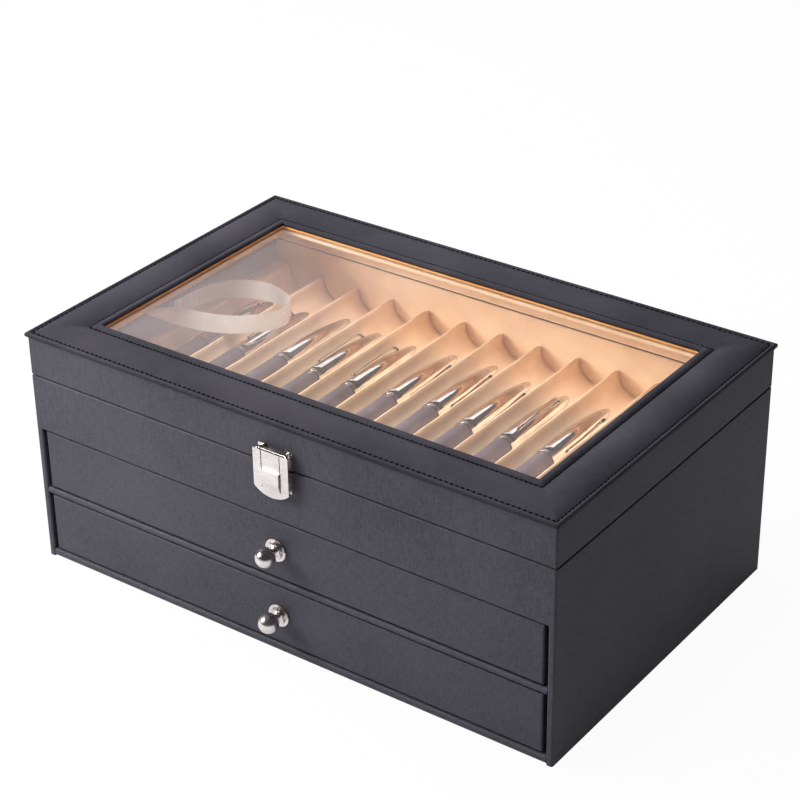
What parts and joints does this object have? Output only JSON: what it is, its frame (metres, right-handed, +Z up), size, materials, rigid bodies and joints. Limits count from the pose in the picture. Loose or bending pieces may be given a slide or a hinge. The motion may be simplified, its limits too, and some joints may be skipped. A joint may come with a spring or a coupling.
{
  "type": "pen collector chest",
  "caption": "Leatherette display chest for pens: glazed lid on a scalloped velvet tray, hasp latch, ribbon stay and drawers with ball knobs below.",
  "frame": {"origin": "centre of the case's underside", "axes": "+X along the front to the right, +Y to the back, +Z up; drawers open towards -Y"},
  "size_m": [0.342, 0.2353, 0.1447],
  "materials": {
    "case_leather": "fine-grain black leatherette, satin",
    "cover_leather": "fine-grain black leatherette, satin",
    "drawer_leather": "fine-grain black leatherette, satin",
    "velvet": "peach velvet, matt with a soft sheen",
    "trim_velvet": "beige velvet-covered card",
    "drawer_board": "paper-wrapped board, matt",
    "glass": "clear pane",
    "nickel": "polished nickel plate",
    "hinge_steel": "nickel-plated steel, satin",
    "pen_barrel": "matt black lacquer",
    "pen_chrome": "mirror chrome",
    "ribbon": "ivory satin ribbon"
  },
  "bodies": {
    "case": {"bottom_board": "case_leather", "left_wall": "case_leather", "right_wall": "case_leather", "back_wall": "case_leather", "front_fascia": "case_leather", "middle_shelf": "case_leather", "tray_shelf": "drawer_board", "case_back_lining": "velvet", "pen_tray": "velvet", "catch_plate": "nickel", "catch_screws": "nickel", "hinge_case_leaves": "hinge_steel", "hinge_case_screws": "hinge_steel", "pen_barrels": "pen_barrel", "pen_caps": "pen_chrome", "pen_cap_rings": "pen_chrome", "pen_clips": "pen_chrome", "ribbon_stay": "ribbon"},
    "lid": {"lid_front_wall": "case_leather", "lid_back_wall": "case_leather", "lid_left_wall": "case_leather", "lid_right_wall": "case_leather", "lid_padded_cover": "cover_leather", "lid_frame_board": "drawer_board", "lid_lining": "velvet", "glass_retainer": "velvet", "window_trim": "trim_velvet", "window_glass": "glass", "latch_lid_plate": "nickel", "latch_lid_screws": "nickel", "latch_pin": "nickel", "hinge_lid_leaves": "hinge_steel", "hinge_lid_screws": "hinge_steel", "hinge_pins": "hinge_steel"},
    "latch_hasp": {"latch_hasp": "nickel"},
    "upper_drawer": {"upper_drawer_front": "drawer_leather", "upper_drawer_left_side": "drawer_board", "upper_drawer_right_side": "drawer_board", "upper_drawer_back": "drawer_board", "upper_drawer_bottom": "drawer_board", "upper_drawer_tray": "velvet", "upper_drawer_knob": "nickel", "upper_drawer_rosette": "nickel", "upper_drawer_knob_screw": "hinge_steel"},
    "lower_drawer": {"lower_drawer_front": "drawer_leather", "lower_drawer_left_side": "drawer_board", "lower_drawer_right_side": "drawer_board", "lower_drawer_back": "drawer_board", "lower_drawer_bottom": "drawer_board", "lower_drawer_tray": "velvet", "lower_drawer_knob": "nickel", "lower_drawer_rosette": "nickel", "lower_drawer_knob_screw": "hinge_steel"}
  },
  "joints": [
    {"name": "lid_hinge", "type": "hinge", "parent": "case", "child": "lid", "pos_m": [0, 0.11055, 0.117], "axis": [-1, 0, 0], "range_deg": [0, 95], "deforming": ["ribbon_stay"]},
    {"name": "hasp_hinge", "type": "hinge", "parent": "lid", "child": "latch_hasp", "pos_m": [0, -0.1109, 0.1268], "axis": [-1, 0, 0], "range_deg": [0, 100]},
    {"name": "upper_drawer_slide", "type": "slide", "parent": "case", "child": "upper_drawer", "axis": [0, -1, 0], "range_m": [0, 0.17]},
    {"name": "lower_drawer_slide", "type": "slide", "parent": "case", "child": "lower_drawer", "axis": [0, -1, 0], "range_m": [0, 0.17]}
  ]
}
